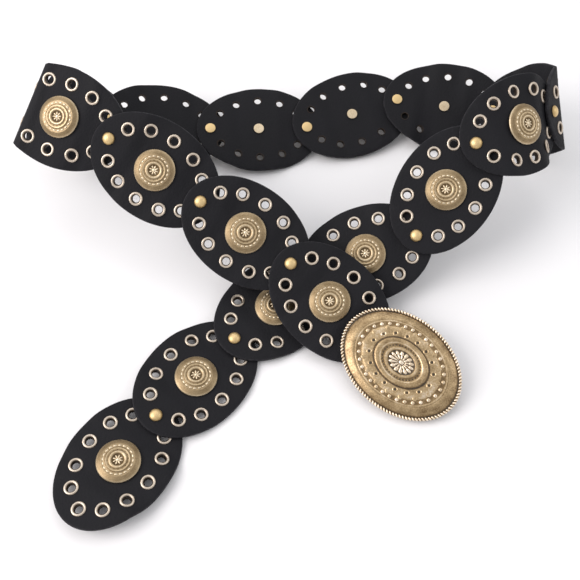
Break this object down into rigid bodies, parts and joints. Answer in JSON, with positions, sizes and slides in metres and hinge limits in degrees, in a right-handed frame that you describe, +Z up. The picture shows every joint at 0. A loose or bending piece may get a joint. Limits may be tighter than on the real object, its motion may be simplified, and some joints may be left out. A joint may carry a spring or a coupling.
{
  "type": "concho belt",
  "caption": "Link belt of lapped oval leather discs with eyelets, riveted end to end, a domed concho on each and an oval plate buckle with a hook, lying folded over.",
  "frame": {"origin": "under the middle of the lying belt, at the height of the surface it lies on", "axes": "+Z up from that surface; +X along the far row of discs towards the bend between it and the tail side; +Y from the tail and buckle towards the far row"},
  "size_m": [0.3444, 0.3172, 0.0904],
  "materials": {
    "leather": "matte black with a slight blue tint and a soft sheen",
    "concho_brass": "antiqued satin, dark in the recesses",
    "rivet_brass": "satin, slightly bright",
    "buckle_brass": "antiqued cast relief, dark in the recesses"
  },
  "bodies": {
    "root": {"link_01": "leather", "link_02": "leather", "link_03": "leather", "link_04": "leather", "link_05": "leather", "link_06": "leather", "link_07": "leather", "link_08": "leather", "link_09": "leather", "link_10": "leather", "link_11": "leather", "link_12": "leather", "link_13": "leather", "link_14": "leather", "link_15": "leather", "link_16": "leather", "concho_01": "concho_brass", "concho_02": "concho_brass", "concho_03": "concho_brass", "concho_04": "concho_brass", "concho_05": "concho_brass", "concho_06": "concho_brass", "concho_07": "concho_brass", "concho_08": "concho_brass", "concho_09": "concho_brass", "concho_10": "concho_brass", "concho_11": "concho_brass", "concho_12": "concho_brass", "concho_13": "concho_brass", "concho_14": "concho_brass", "concho_15": "concho_brass", "concho_16": "concho_brass", "rivet_01": "rivet_brass", "rivet_02": "rivet_brass", "rivet_03": "rivet_brass", "rivet_04": "rivet_brass", "rivet_05": "rivet_brass", "rivet_06": "rivet_brass", "rivet_07": "rivet_brass", "rivet_08": "rivet_brass", "rivet_09": "rivet_brass", "rivet_10": "rivet_brass", "rivet_11": "rivet_brass", "rivet_12": "rivet_brass", "rivet_13": "rivet_brass", "rivet_14": "rivet_brass", "rivet_15": "rivet_brass", "buckle_plate": "buckle_brass", "buckle_hook": "buckle_brass"}
  },
  "joints": []
}
